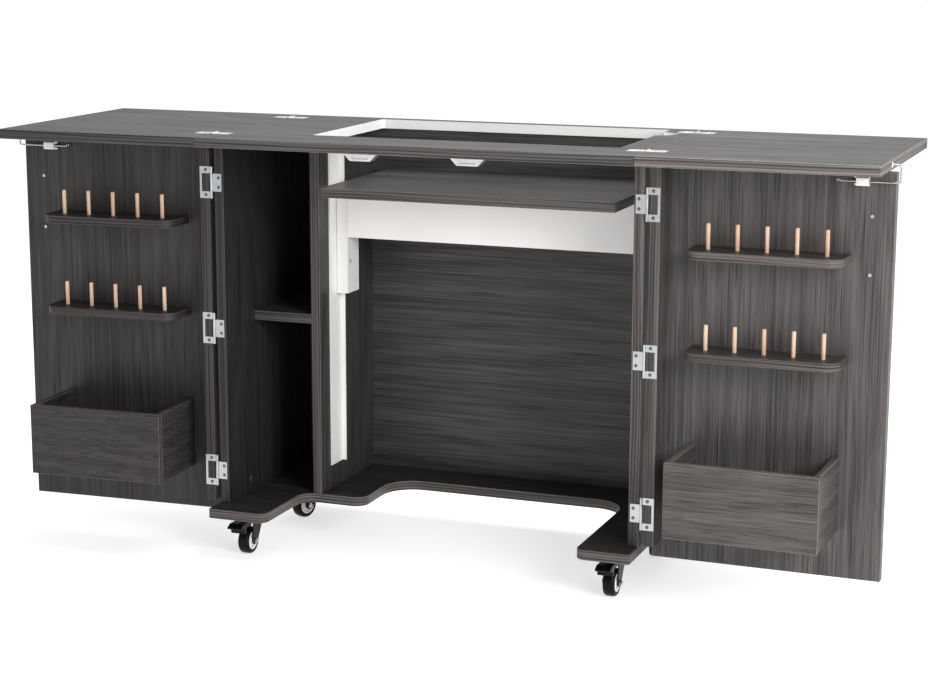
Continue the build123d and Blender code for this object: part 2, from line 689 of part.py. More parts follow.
def make_fork(name, frame, has_pedal):
    """Stamped fork: a bearing cup round the kingpin's head and two tapering legs to the axle."""
    foot_half, foot_drop = 8.0, 7.0
    cup_r, cup_low, cup_wall = 12.5, 59.0, 1.5
    leg_rear, leg_front = 17.0, -23.0
    with BuildPart() as fork:
        with BuildSketch(frame.offset(FORK_TOP - FORK_SHEET)):
            RectangleRounded(2 * (FORK_GAP + FORK_SHEET), 2 * CROWN_HALF, 5.0)
        extrude(amount=FORK_SHEET)
        for leg in (-1, 1):
            with BuildSketch(upright_plane(frame, leg * FORK_GAP)):
                with BuildLine():
                    FilletPolyline(
                        (leg_rear, FORK_TOP),
                        (leg_rear, FORK_TOP - 10),
                        (foot_half - CASTER_TRAIL, WHEEL_R - foot_drop),
                        (-foot_half - CASTER_TRAIL, WHEEL_R - foot_drop),
                        (-foot_half - CASTER_TRAIL, WHEEL_R + foot_drop),
                        (leg_front, FORK_TOP),
                        radius=[10.0, 6.0, 6.0, 3.0],
                    )
                    Line((leg_front, FORK_TOP), (leg_rear, FORK_TOP))
                make_face()
                with Locations((-CASTER_TRAIL, WHEEL_R)):
                    Circle(AXLE_R + PRESS_PLAY, mode=Mode.SUBTRACT)
                if has_pedal:
                    with Locations((PEDAL_Y, PEDAL_Z)):
                        Circle(TRUNNION_R + RUNNING_PLAY, mode=Mode.SUBTRACT)
            extrude(amount=leg * FORK_SHEET)
        with BuildSketch(frame.offset(cup_low)):
            Circle(cup_r)
        extrude(amount=FORK_TOP - cup_low)
        with BuildSketch(frame.offset(cup_low + cup_wall)):
            Circle(cup_r - cup_wall)
        extrude(amount=FORK_TOP - FORK_SHEET - cup_low - cup_wall, mode=Mode.SUBTRACT)
        with BuildSketch(frame.offset(FORK_TOP - FORK_SHEET)):
            Circle(KINGPIN_R + RUNNING_PLAY)
        extrude(amount=FORK_SHEET, mode=Mode.SUBTRACT)
    save(fork, f"{name}_caster_fork")


def axle_plane(frame, along):
    """Plane across a caster's axle, the given distance from the wheel's middle."""
    return upright_plane(frame, along, -CASTER_TRAIL, WHEEL_R)


def make_wheel(name, frame):
    """Wheel with a rounded tread, dished sides and a bore for the axle."""
    half, dish = WHEEL_WIDE / 2, 3.0
    dish_r, boss_r, shoulder = 17.0, 8.0, 4.0
    with BuildPart() as wheel:
        with BuildSketch(axle_plane(frame, -half)):
            Circle(WHEEL_R)
        extrude(amount=WHEEL_WIDE)
        fillet(wheel.edges(), shoulder)
        for end in (-1, 1):
            with BuildSketch(axle_plane(frame, end * half)):
                Circle(dish_r)
                Circle(boss_r, mode=Mode.SUBTRACT)
            extrude(amount=-end * dish, mode=Mode.SUBTRACT)
        with BuildSketch(axle_plane(frame, -half)):
            Circle(AXLE_R + RUNNING_PLAY)
        extrude(amount=WHEEL_WIDE, mode=Mode.SUBTRACT)
    save(wheel, f"{name}_caster_wheel")


def make_axle(name, frame):
    """Axle bolt with a hexagon head on one side and a nut on the other."""
    outer = FORK_GAP + FORK_SHEET
    head_thick, nut_thick, tail, hexagon_r = 3.0, 3.5, 1.5, 5.2
    with BuildPart() as axle:
        with BuildSketch(axle_plane(frame, -outer)):
            Circle(AXLE_R)
        extrude(amount=2 * outer + nut_thick + tail)
        for start, thick in ((-outer - head_thick, head_thick), (outer, nut_thick)):
            with BuildSketch(axle_plane(frame, start)):
                RegularPolygon(hexagon_r, 6)
            extrude(amount=thick)
    save(axle, f"{name}_caster_axle")


def make_pedal(name, frame):
    """Brake pedal: a treadle on two trunnions, with a shoe over the tread and a toe prong."""
    arm_half, tread_half, shoe_half = FORK_GAP - 0.8, FORK_GAP + FORK_SHEET, 9.0
    top, under = PEDAL_Z + 4.2, PEDAL_Z - 2.0
    eye_r, trunnion_end = 3.2, FORK_GAP + FORK_SHEET + 0.5
    tread_start, prong_foot = -31.0, PEDAL_Z - 14.0
    shoe_near, shoe_far, shoe_under = -26.0, -36.0, WHEEL_R * 2 + 3.0
    with BuildPart() as pedal:
        with BuildSketch(upright_plane(frame, -tread_half)):
            with BuildLine():
                FilletPolyline(
                    (tread_start, under),
                    (tread_start, top),
                    (-66, top + 1.5),
                    (-78, top - 4.5),
                    (-76, top - 7),
                    (-64, under - 1),
                    (-61, prong_foot),
                    (-56.5, prong_foot),
                    (-54, under - 1),
                    (tread_start - 4, under),
                    radius=0.8,
                )
                Line((tread_start - 4, under), (tread_start, under))
            make_face()
        extrude(amount=2 * tread_half)
        for x_half, outline in (
            (arm_half, (tread_start - 1, PEDAL_Y, under, top - 2)),
            (shoe_half, (shoe_far, shoe_near, shoe_under, top - 2)),
        ):
            near, far, low, high = outline
            with BuildSketch(upright_plane(frame, -x_half)):
                with Locations(((near + far) / 2, (low + high) / 2)):
                    Rectangle(far - near, high - low)
            extrude(amount=2 * x_half)
        for x_half, radius in ((arm_half, eye_r), (trunnion_end, TRUNNION_R)):
            with BuildSketch(upright_plane(frame, -x_half)):
                with Locations((PEDAL_Y, PEDAL_Z)):
                    Circle(radius)
            extrude(amount=2 * x_half)
    save(pedal, f"{name}_brake_pedal")


def make_casters():
    make_caster_plates()
    for name, (side, y, turn, has_pedal) in CASTERS.items():
        frame = caster_frame(side, y, turn)
        make_fork(name, frame, has_pedal)
        make_wheel(name, frame)
        make_axle(name, frame)
        if has_pedal:
            make_pedal(name, frame)


# ---------------------------------------------------------------- build
make_carcass()
for leaf_name, leaf_side in SIDES.items():
    make_leaf(leaf_name, leaf_side)
make_fold_hinges()
make_door_hinges()
make_doors()
make_door_catches()
make_lift()
make_casters()
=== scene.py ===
"""Looks of the sewing table: materials, small hardware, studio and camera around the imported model."""
import json
import math

import bmesh
import bpy
from mathutils import Euler, Matrix, Vector


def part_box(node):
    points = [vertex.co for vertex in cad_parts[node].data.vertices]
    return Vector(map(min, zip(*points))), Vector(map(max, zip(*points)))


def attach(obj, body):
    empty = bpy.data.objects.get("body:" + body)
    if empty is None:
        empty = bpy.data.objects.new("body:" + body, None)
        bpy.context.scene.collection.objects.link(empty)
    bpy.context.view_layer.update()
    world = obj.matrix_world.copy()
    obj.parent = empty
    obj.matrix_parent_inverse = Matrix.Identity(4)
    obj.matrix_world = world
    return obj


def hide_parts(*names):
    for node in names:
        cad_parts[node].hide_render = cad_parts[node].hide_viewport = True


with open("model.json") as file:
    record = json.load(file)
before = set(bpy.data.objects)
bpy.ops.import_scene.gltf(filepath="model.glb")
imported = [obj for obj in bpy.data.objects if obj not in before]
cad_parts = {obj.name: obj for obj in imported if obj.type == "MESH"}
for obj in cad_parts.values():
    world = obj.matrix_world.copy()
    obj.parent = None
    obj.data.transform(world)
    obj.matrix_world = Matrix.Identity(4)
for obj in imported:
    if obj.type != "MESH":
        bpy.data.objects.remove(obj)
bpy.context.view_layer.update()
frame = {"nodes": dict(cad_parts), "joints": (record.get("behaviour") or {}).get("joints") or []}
NODES = frame["nodes"]
JOINTS = {joint["name"]: joint for joint in frame["joints"]}
SIDES = {"left": -1, "right": 1}
CASTERS = ("front_left", "front_right", "rear_left", "rear_right")
MM = 0.001


# ---------------------------------------------------------------- material helpers
class Graph:
    """A material under construction: most methods add nodes and return an output socket."""

    def __init__(self, name):
        self.material = bpy.data.materials.new(name)
        self.material.use_nodes = True
        self.tree = self.material.node_tree
        self.tree.nodes.clear()
        self.out = self.tree.nodes.new("ShaderNodeOutputMaterial")
        self.shader = self.tree.nodes.new("ShaderNodeBsdfPrincipled")
        self.tree.links.new(self.shader.outputs[0], self.out.inputs[0])
        self.coords = self.tree.nodes.new("ShaderNodeTexCoord")

    def put(self, socket, value):
        """Link a socket or set a constant."""
        if isinstance(value, bpy.types.NodeSocket):
            self.tree.links.new(value, socket)
        else:
            socket.default_value = value

    def place(self):
        return self.coords.outputs["Object"]

    def normal(self):
        return self.coords.outputs["Normal"]

    def math(self, operation, a, b=0.0):
        node = self.tree.nodes.new("ShaderNodeMath")
        node.operation = operation
        self.put(node.inputs[0], a)
        self.put(node.inputs[1], b)
        return node.outputs[0]

    def split(self, vector):
        node = self.tree.nodes.new("ShaderNodeSeparateXYZ")
        self.put(node.inputs[0], vector)
        return node.outputs

    def stretch(self, vector, scale, shift=(0.0, 0.0, 0.0)):
        node = self.tree.nodes.new("ShaderNodeMapping")
        self.put(node.inputs["Vector"], vector)
        node.inputs["Scale"].default_value = scale
        node.inputs["Location"].default_value = shift
        return node.outputs[0]

    def noise(self, vector, scale=1.0, detail=3.0, roughness=0.5, distortion=0.0):
        node = self.tree.nodes.new("ShaderNodeTexNoise")
        self.put(node.inputs["Vector"], vector)
        node.inputs["Scale"].default_value = scale
        node.inputs["Detail"].default_value = detail
        node.inputs["Roughness"].default_value = roughness
        node.inputs["Distortion"].default_value = distortion
        return node.outputs["Fac"]

    def layer(self, axis, on, off, shift, **noise):
        """Noise drawn out along one axis: on and off are its frequencies along and across it."""
        return self.noise(self.stretch(self.place(), along(axis, on, off), shift), **noise)

    def weighted(self, *terms):
        """The sum of (socket, weight) terms."""
        total = None
        for value, weight in terms:
            part = self.math("MULTIPLY", value, weight)
            total = part if total is None else self.math("ADD", total, part)
        return total

    def round_fade(self, reach):
        """1 at the object's origin, falling to 0 at a distance."""
        node = self.tree.nodes.new("ShaderNodeTexGradient")
        node.gradient_type = "SPHERICAL"
        self.put(node.inputs["Vector"], self.stretch(self.place(), (1 / reach,) * 3))
        return node.outputs["Fac"]

    def span(self, value, low, high, to_low=0.0, to_high=1.0):
        """Map low..high to to_low..to_high, clamped and eased."""
        node = self.tree.nodes.new("ShaderNodeMapRange")
        node.interpolation_type = "SMOOTHSTEP"
        self.put(node.inputs["Value"], value)
        for name, number in (("From Min", low), ("From Max", high), ("To Min", to_low), ("To Max", to_high)):
            node.inputs[name].default_value = number
        return node.outputs[0]

    def mix(self, factor, a, b):
        node = self.tree.nodes.new("ShaderNodeMix")
        node.data_type = "RGBA"
        self.put(node.inputs["Factor"], factor)
        for socket, value in ((node.inputs[6], a), (node.inputs[7], b)):
            if isinstance(value, bpy.types.NodeSocket):
                self.tree.links.new(value, socket)
            else:
                socket.default_value = (*value, 1.0)
        return node.outputs[2]

    def bump(self, height, distance, strength=1.0):
        node = self.tree.nodes.new("ShaderNodeBump")
        node.inputs["Strength"].default_value = strength
        node.inputs["Distance"].default_value = distance
        self.put(node.inputs["Height"], height)
        self.put(self.shader.inputs["Normal"], node.outputs[0])

    def finish(self, colour, roughness, metallic=0.0, specular=0.5):
        if isinstance(colour, bpy.types.NodeSocket):
            self.tree.links.new(colour, self.shader.inputs["Base Color"])
        else:
            self.shader.inputs["Base Color"].default_value = (*colour, 1.0)
        self.put(self.shader.inputs["Roughness"], roughness)
        self.shader.inputs["Metallic"].default_value = metallic
        self.shader.inputs["Specular IOR Level"].default_value = specular
        return self.material


WARM_GREEN = 0.35     # how much warmth takes from green and from blue, for each part added to red
WARM_BLUE = 0.8


def grey(value, warmth=0.0):
    """A near-neutral linear colour, warmer with a positive warmth."""
    return (value * (1 + warmth), value * (1 - WARM_GREEN * warmth), value * (1 - WARM_BLUE * warmth))


def along(axis, on, off):
    """Three numbers: one along an axis, another across it."""
    return tuple(on if letter == axis else off for letter in "XYZ")


# ---------------------------------------------------------------- materials
GRAIN_DARK = 0.030
GRAIN_LIGHT = 0.128
# colour of the painted glints: lighter streaks standing in for glints of light
PAINTED_GLINT_LIGHT = GRAIN_LIGHT * 1.5
PORE_DARK = GRAIN_DARK * 0.3
BAND_DARK = 0.012
BAND_LIGHT = 0.150
# colour of the painted highlight along the boards' arrises
ARRIS_LIGHT = 0.20
FIGURE_LINES = 150.0     # cathedral lines, in radians a metre, and how far they wander
FIGURE_SWAY = 44.0
BAND_LINES = 1180.0      # stripes of the edge band, the same
BAND_SWAY = 24.0
FACE_TURN = 0.93         # a face whose normal leans less than this on the thickness is an arris or an edge
EDGE_TURN = 0.4


def grain_value(g, grain, thickness, shift):
    """How light the woodgrain is from 0 to 1, and its raw fibres."""
    fibres = g.layer(grain, 2.4, 460.0, shift, detail=4.0, roughness=0.7)
    streaks = g.layer(grain, 0.8, 130.0, shift, detail=4.0, roughness=0.65)
    broad = g.layer(grain, 0.9, 11.0, shift, detail=2.0, distortion=0.6)
    warp = g.layer(grain, 1.3, 4.0, shift, detail=1.0)
    across = next(letter for letter in "XYZ" if letter not in (grain, thickness))
    lane = g.split(g.place())["XYZ".index(across)]
    figure = g.span(g.math("SINE", g.weighted((lane, FIGURE_LINES), (warp, FIGURE_SWAY))), -0.9, 0.9)
    value = g.weighted((g.span(streaks, 0.36, 0.64), 0.28), (g.span(fibres, 0.36, 0.64), 0.32),
                       (figure, 0.18), (g.span(broad, 0.3, 0.7), 0.16))
    return value, fibres


def edge_band(g, thickness, light_and_shade_tone, warmth, shift):
    """The striped band on a board's edges."""
    depth = g.split(g.place())["XYZ".index(thickness)]
    sway = g.layer(thickness, 2.0, 2.0, shift, detail=1.0)
    rows = g.math("SINE", g.weighted((depth, BAND_LINES), (sway, BAND_SWAY)))
    stripes = g.layer(thickness, 260.0, 1.6, shift, detail=2.0, roughness=0.6)
    threads = g.layer(thickness, 900.0, 12.0, shift, detail=1.0)
    value = g.weighted((g.span(stripes, 0.42, 0.58), 0.45), (g.span(rows, -0.7, 0.7), 0.35), (threads, 0.2))
    # the band's colours are scaled by the board's painted light and shade tone
    return g.mix(value, grey(BAND_DARK * light_and_shade_tone, warmth + 0.03), grey(BAND_LIGHT * light_and_shade_tone, warmth + 0.05))


def laminate(name, grain, thickness, light_and_shade_tone=1.0, edge_light_and_shade_tone=1.0, warmth=0.02, seed=0.0):
    """Charcoal woodgrain laminate; the edges carry a striped band and the arrises catch light. The tones are
    painted light and shade, a brightness per board; the arrises' light is a painted highlight, and the
    lighter streaks are painted glints.
    """
    g = Graph(name)
    shift = (seed * 1.7, seed * 2.3, seed * 3.1)
    value, fibres = grain_value(g, grain, thickness, shift)
    # painted glints: lighter streaks along the grain standing in for glints of light
    painted_glints = g.span(g.layer(grain, 2.6, 420.0, shift, detail=2.0), 0.54, 0.70)
    pores = g.span(g.layer(grain, 9.0, 700.0, shift, detail=1.0), 0.56, 0.66)
    # painted light and shade: the grain's colours are scaled by the board's tone
    face = g.mix(value, grey(GRAIN_DARK * light_and_shade_tone, warmth), grey(GRAIN_LIGHT * light_and_shade_tone, warmth))
    face = g.mix(g.math("MULTIPLY", painted_glints, 0.34), face, grey(PAINTED_GLINT_LIGHT * light_and_shade_tone, warmth))
    face = g.mix(g.math("MULTIPLY", pores, 0.6), face, grey(PORE_DARK * light_and_shade_tone, warmth))

    facing = g.math("ABSOLUTE", g.split(g.normal())["XYZ".index(thickness)])
    on_edge = g.math("LESS_THAN", facing, EDGE_TURN)
    off_edge = g.math("GREATER_THAN", facing, EDGE_TURN)
    on_arris = g.math("MULTIPLY", off_edge, g.math("LESS_THAN", facing, FACE_TURN))
    # painted highlight along the arrises, broken up in patches by noise
    arris_highlight_breakup = g.span(g.layer(grain, 90.0, 90.0, shift, detail=2.0), 0.25, 0.75, 0.55, 1.0)
    colour = g.mix(on_edge, face, edge_band(g, thickness, edge_light_and_shade_tone, warmth, shift))
    colour = g.mix(g.math("MULTIPLY", on_arris, arris_highlight_breakup), colour, grey(ARRIS_LIGHT * edge_light_and_shade_tone, warmth + 0.02))

    g.bump(g.weighted((fibres, 0.6), (pores, -0.8)), 0.00010, 0.5)
    smudge = g.span(g.layer(grain, 6.0, 6.0, shift, detail=3.0), 0.3, 0.7, 0.40, 0.50)
    return g.finish(colour, g.math("ADD", smudge, g.math("MULTIPLY", pores, 0.10)), specular=0.32)


def powder_coat(name, colour, shade=0.93):
    """White powder-coated steel: faint orange peel and a little unevenness."""
    g = Graph(name)
    peel = g.noise(g.place(), 900.0, 2.0)
    cloud = g.noise(g.place(), 9.0, 3.0)
    g.bump(peel, 0.00006, 0.5)
    tint = g.mix(g.span(cloud, 0.3, 0.7), tuple(c * shade for c in colour), colour)
    return g.finish(tint, g.span(cloud, 0.3, 0.7, 0.34, 0.46), specular=0.45)


def melamine(name, colour):
    """Plain melamine-faced board: fine stipple and faint clouding."""
    g = Graph(name)
    stipple = g.noise(g.place(), 2200.0, 1.0)
    cloud = g.noise(g.place(), 5.0, 2.0)
    g.bump(stipple, 0.00004, 0.6)
    tint = g.mix(g.span(cloud, 0.3, 0.7), tuple(c * 0.95 for c in colour), colour)
    return g.finish(tint, g.span(cloud, 0.3, 0.7, 0.42, 0.52), specular=0.4)


def moulded(name, colour, rough=0.42, specular=0.45, mottling=0.06):
    """Moulded plastic or rubber with fine texture and slight mottling."""
    g = Graph(name)
    grit = g.noise(g.place(), 1500.0, 2.0)
    cloud = g.noise(g.place(), 60.0, 2.0)
    g.bump(grit, 0.00004, 0.5)
    tint = g.mix(g.span(cloud, 0.3, 0.7), tuple(c * (1 - mottling) for c in colour), colour)
    return g.finish(tint, g.span(grit, 0.3, 0.7, rough - 0.05, rough + 0.07), specular=specular)


def plated(name, colour, rough=0.3, brush="Z", metallic=1.0):
    """Zinc or nickel plate: fine rolling lines and cloudy brightness."""
    g = Graph(name)
    lines = g.noise(g.stretch(g.place(), along(brush, 60.0, 2600.0)), detail=2.0)
    cloud = g.noise(g.place(), 45.0, 2.0, 0.5)
    g.bump(lines, 0.00003, 0.5)
    tint = g.mix(g.span(cloud, 0.3, 0.7), tuple(c * 0.84 for c in colour), colour)
    return g.finish(tint, g.span(cloud, 0.3, 0.7, rough - 0.08, rough + 0.12), metallic=metallic)


def beech(name):
    """Turned beech dowels: long pinkish grain, short dark flecks, each dowel a little different in tone."""
    g = Graph(name)
    grain = g.noise(g.stretch(g.place(), (900.0, 900.0, 28.0)), detail=3.0, roughness=0.6)
    flecks = g.span(g.noise(g.stretch(g.place(), (1500.0, 1500.0, 260.0)), detail=1.0), 0.63, 0.72)
    sticks = g.noise(g.stretch(g.place(), (23.0, 23.0, 3.0)), detail=0.0)
    light = g.mix(g.span(sticks, 0.35, 0.65), (0.74, 0.49, 0.34), (0.82, 0.62, 0.46))
    dark = g.mix(g.span(sticks, 0.35, 0.65), (0.52, 0.29, 0.18), (0.62, 0.41, 0.28))
    colour = g.mix(g.span(grain, 0.3, 0.7), dark, light)
    colour = g.mix(g.math("MULTIPLY", flecks, 0.4), colour, (0.26, 0.12, 0.07))
    g.bump(grain, 0.00008, 0.5)
    return g.finish(colour, g.span(grain, 0.3, 0.7, 0.46, 0.60), specular=0.35)


WHITE = (0.80, 0.795, 0.775)
CREAM = (0.86, 0.85, 0.83)
LINER_WHITE = (0.88, 0.87, 0.85)
APRON_WHITE = (0.91, 0.885, 0.865)
NYLON = (0.66, 0.64, 0.58)
ZINC = (0.52, 0.53, 0.54)
NICKEL = (0.80, 0.79, 0.76)
SCREW_ZINC = (0.20, 0.20, 0.21)
CATCH_BRIGHT = (0.82, 0.82, 0.83)
HANDLE_SATIN = (0.55, 0.55, 0.56)
CAST_BLACK = (0.005, 0.005, 0.0055)
TREAD_BLACK = (0.005, 0.005, 0.0052)
HUB_CREAM = (0.86, 0.80, 0.77)
CAP_GREY = (0.05, 0.048, 0.048)


# ---------------------------------------------------------------- dressing the carried-over boards
# node: grain axis, thickness axis, tone of the faces, tone of the edges, warmth; both tones are painted light
# and shade, making each board of the one laminate brighter or darker for how light falls on it
BOARDS = {
    "centre_top": ("X", "Z", 0.97, 0.74, 0.02),
    "left_leaf_top": ("X", "Z", 1.10, 0.48, 0.02),
    "right_leaf_top": ("X", "Z", 1.08, 1.25, 0.05),
    "base_panel": ("X", "Z", 0.34, 0.75, 0.05),
    "left_side_panel": ("Z", "X", 0.26, 0.30, 0.03),
    "right_side_panel": ("Z", "X", 0.7, 0.85, 0.05),
    "divider_panel": ("Z", "X", 0.50, 0.62, 0.04),
    "back_panel": ("X", "Y", 0.66, 0.6, 0.045),
    "compartment_shelf": ("X", "Z", 0.45, 0.6, 0.03),
    "lift_platform": ("X", "Z", 0.41, 0.74, 0.04),
}
# doors: tone of the faces, of the edges and of the return, all painted light and shade (left door in shade,
# right door lit), and warmth; the shelves and basket scale the door's tone down as painted shade
for side_name, face_light_and_shade_tone, edge_light_and_shade_tone, return_light_and_shade_tone, warmth in (
    ("left", 0.43, 0.5, 0.40, 0.06), ("right", 0.90, 0.95, 0.74, 0.06),
):
    BOARDS[f"{side_name}_door_panel"] = ("Z", "Y", face_light_and_shade_tone, edge_light_and_shade_tone, warmth)
    BOARDS[f"{side_name}_door_return"] = ("Z", "X", face_light_and_shade_tone, return_light_and_shade_tone, warmth)
    BOARDS[f"{side_name}_spool_shelves"] = ("X", "Z", face_light_and_shade_tone * 0.75, edge_light_and_shade_tone * 0.8, warmth)
    BOARDS[f"{side_name}_basket_front"] = ("X", "Y", face_light_and_shade_tone * 0.88, edge_light_and_shade_tone, warmth + 0.03)
    BOARDS[f"{side_name}_basket_ends"] = ("Y", "X", face_light_and_shade_tone * 0.9, edge_light_and_shade_tone, warmth)
    BOARDS[f"{side_name}_basket_bottom"] = ("X", "Z", face_light_and_shade_tone, edge_light_and_shade_tone, warmth)


def dress(node, material):
    """Give a carried-over node its material."""
    mesh = NODES[node].data
    mesh.materials.clear()
    mesh.materials.append(material)


def dress_boards():
    for seed, (node, looks) in enumerate(BOARDS.items(), start=1):
        dress(node, laminate(f"laminate_{node}", *looks, seed=seed))


def dress_hardware():
    white_steel = powder_coat("white_powder_coat", CREAM)
    white_plastic = moulded("white_plastic", WHITE)
    zinc = plated("zinc_plate", ZINC)
    dark_zinc = plated("screw_zinc", SCREW_ZINC)
    nickel = plated("nickel_plate", NICKEL, rough=0.30, brush="X", metallic=0.45)
    black_paint = moulded("caster_paint", CAST_BLACK, rough=0.28, specular=0.12, mottling=0.2)
    wood = beech("beech")
    dress("opening_liner", melamine("liner_edge", LINER_WHITE))
    dress("lift_apron", melamine("apron_board", APRON_WHITE))
    dress("lift_rails", white_steel)
    dress("lift_carriages", white_steel)
    dress("lift_glides", moulded("nylon", NYLON))
    dress("door_catches", plated("catch_plate", CATCH_BRIGHT, rough=0.36, brush="X"))
    dress("door_hinge_cabinet_plates", zinc)
    dress("fold_hinge_centre_plates", nickel)
    dress("caster_plates", black_paint)
    for side_name in SIDES:
        dress(f"{side_name}_spool_pegs", wood)
        dress(f"{side_name}_door_hinge_frames", zinc)
        dress(f"{side_name}_fold_hinge_plates", nickel)
        dress(f"{side_name}_support_wire", zinc)
        dress(f"{side_name}_wire_clip", white_plastic)
        dress(f"{side_name}_door_handle", plated(f"{side_name}_handle_satin", HANDLE_SATIN))
        dress(f"{side_name}_handle_screws", zinc)
    for caster in CASTERS:
        dress(f"{caster}_caster_fork", black_paint)
        dress(f"{caster}_caster_axle", zinc)
        if caster.startswith("front"):
            dress(f"{caster}_brake_pedal", black_paint)
    return {"zinc": zinc, "screws": dark_zinc, "nickel": nickel, "white_plastic": white_plastic}


# ---------------------------------------------------------------- small pieces
def piece_from(bm, name, body, slot, *materials, smooth_angle=35.0):
    """Turn a bmesh into a piece that rides on a body."""
    mesh = bpy.data.meshes.new(name)
    bmesh.ops.recalc_face_normals(bm, faces=bm.faces)
    for face in bm.faces:
        face.smooth = True
    bm.to_mesh(mesh)
    bm.free()
    mesh.set_sharp_from_angle(angle=math.radians(smooth_angle))
    for material in materials:
        mesh.materials.append(material)
    piece = bpy.data.objects.new(name, mesh)
    bpy.context.scene.collection.objects.link(piece)
    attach(piece, body)
    return piece


def axes_from(normal):
    """A normal made one unit long, and two unit vectors that span the plane across it."""
    normal = Vector(normal).normalized()
    first = normal.cross(Vector((0, 0, 1)) if abs(normal.z) < 0.9 else Vector((1, 0, 0))).normalized()
    return normal, first, normal.cross(first)


def in_metres(profile):
    """A profile given in millimetres, in metres."""
    return [(radius * MM, distance * MM) for radius, distance in profile]


def lathe(bm, centre, axis, profile, segments=48, material=0, closed=True):
    """Spin a profile of (radius, distance along the axis) points round an axis."""
    normal, first, second = axes_from(axis)
    rings = []
    for radius, distance in profile:
        ring = []
        for step in range(segments):
            angle = 2 * math.pi * step / segments
            spoke = first * math.cos(angle) + second * math.sin(angle)
            ring.append(bm.verts.new(Vector(centre) + spoke * radius + normal * distance))
        rings.append(ring)
    pairs = list(zip(rings, rings[1:]))
    if closed:
        pairs.append((rings[-1], rings[0]))
    for low, high in pairs:
        for step in range(segments):
            after = (step + 1) % segments
            face = bm.faces.new((low[step], low[after], high[after], high[step]))
            face.material_index = material


SCREW_RINGS = (0.14, 0.26, 0.38, 0.5, 0.62, 0.74, 0.86, 0.95, 1.0)     # shares of the head's radius
SCREW_SPOKES = 40
SCREW_FOOT = 0.3 * MM
CROSS_HALF = 0.13      # half the recess's width and its reach, as shares of the radius
CROSS_REACH = 0.6
CROSS_DEPTH = 0.75     # share of the head's height
FIRST_TURN = 0.6       # how the recess is turned, and how much further on the next screw, in radians
NEXT_TURN = 1.9


def add_screw(bm, centre, normal, radius, rise, turn=0.0):
    """Domed screw head with a cross recess, standing on a surface point."""
    normal, first, second = axes_from(normal)
    base = Vector(centre)

    def point(share, angle):
        x, y = share * math.cos(angle), share * math.sin(angle)
        cross = min(abs(x), abs(y)) < CROSS_HALF and share < CROSS_REACH
        height = rise * (1 - share ** 2) ** 0.5 - (rise * CROSS_DEPTH if cross else 0.0)
        a, b = math.cos(turn), math.sin(turn)
        return base + first * radius * (x * a - y * b) + second * radius * (x * b + y * a) + normal * height

    middle = bm.verts.new(base + normal * rise * (1 - CROSS_DEPTH))
    rings = []
    for share in SCREW_RINGS:
        angles = [2 * math.pi * n / SCREW_SPOKES for n in range(SCREW_SPOKES)]
        rings.append([bm.verts.new(point(share, angle)) for angle in angles])
    foot = [bm.verts.new(v.co - normal * SCREW_FOOT) for v in rings[-1]]
    rings.append(foot)
    for n in range(SCREW_SPOKES):
        after = (n + 1) % SCREW_SPOKES
        bm.faces.new((middle, rings[0][n], rings[0][after]))
        for low, high in zip(rings, rings[1:]):
            bm.faces.new((low[n], high[n], high[after], low[after]))
    bm.faces.new(reversed(foot))


def make_screws(name, body, slot, material, spots, radius, rise):
    """One piece of many screw heads; spots are (point, normal)."""
    bm = bmesh.new()
    for number, (point, normal) in enumerate(spots):
        add_screw(bm, point, normal, radius, rise, turn=FIRST_TURN + NEXT_TURN * number)
    return piece_from(bm, name, body, slot, material)


def door_turn(side_name):
    """How a door's pieces turn from fully open to where the door stands."""
    joint = JOINTS[f"{side_name}_door_swing"]
    return Matrix.Rotation(math.radians(-joint["range_deg"][0]), 3, Vector(joint["axis"]))


def on_door(side_name, point):
    """Where a point given for a fully open door is, with the door where it stands."""
    hinge = Vector(JOINTS[f"{side_name}_door_swing"]["pos_m"])
    return hinge + door_turn(side_name) @ (Vector(point) - hinge)


def wire_frame(side_name, side):
    """A point on the support wire's straight run, its way outwards and its way to the back."""
    joint = JOINTS[f"{side_name}_wire_fold"]
    outward = Vector(joint["axis"]) * side
    return Vector(joint["pos_m"]), outward, Vector((-outward.y, outward.x, 0)) * side


FRAME_TALL = 57 * MM              # a door hinge's frame plate
HINGE_SCREW_R = 3.1 * MM
HINGE_SCREW_RISE = 0.8 * MM
HINGE_PLATE_THICK = 1.0 * MM
FRAME_SCREW_X = 11 * MM           # screws from the hinge's pin and from its middle
FRAME_SCREW_Z = 22.6 * MM
SMALL_SCREW_X = 14 * MM
SMALL_SCREW_Z = 8.5 * MM


def hinge_heights():
    low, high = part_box("left_door_hinge_frames")
    bottom, top = low.z + FRAME_TALL / 2, high.z - FRAME_TALL / 2
    return [bottom, (bottom + top) / 2, top]


def make_hinge_screws(metal):
    """Two screws in each door hinge's frame plate and two in its small plate."""
    plate_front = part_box("right_side_panel")[0].y - HINGE_PLATE_THICK
    frame_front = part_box("right_door_return")[0].y - HINGE_PLATE_THICK
    cabinet_spots = []
    for side_name, side in SIDES.items():
        hinge_x = JOINTS[f"{side_name}_door_swing"]["pos_m"][0]
        facing = door_turn(side_name) @ Vector((0, -1, 0))
        door_spots = []
        for z in hinge_heights():
            for up in (-1, 1):
                on_frame = (hinge_x + side * FRAME_SCREW_X, frame_front, z + up * FRAME_SCREW_Z)
                door_spots.append((on_door(side_name, on_frame), facing))
                on_plate = (hinge_x - side * SMALL_SCREW_X, plate_front, z + up * SMALL_SCREW_Z)
                cabinet_spots.append((on_plate, (0, -1, 0)))
        make_screws(f"{side_name}_door_hinge_screws", f"{side_name}_door", "zinc_steel", metal, door_spots,
                    HINGE_SCREW_R, HINGE_SCREW_RISE)
    make_screws("cabinet_hinge_screws", "cabinet", "zinc_steel", metal, cabinet_spots, HINGE_SCREW_R,
                HINGE_SCREW_RISE)


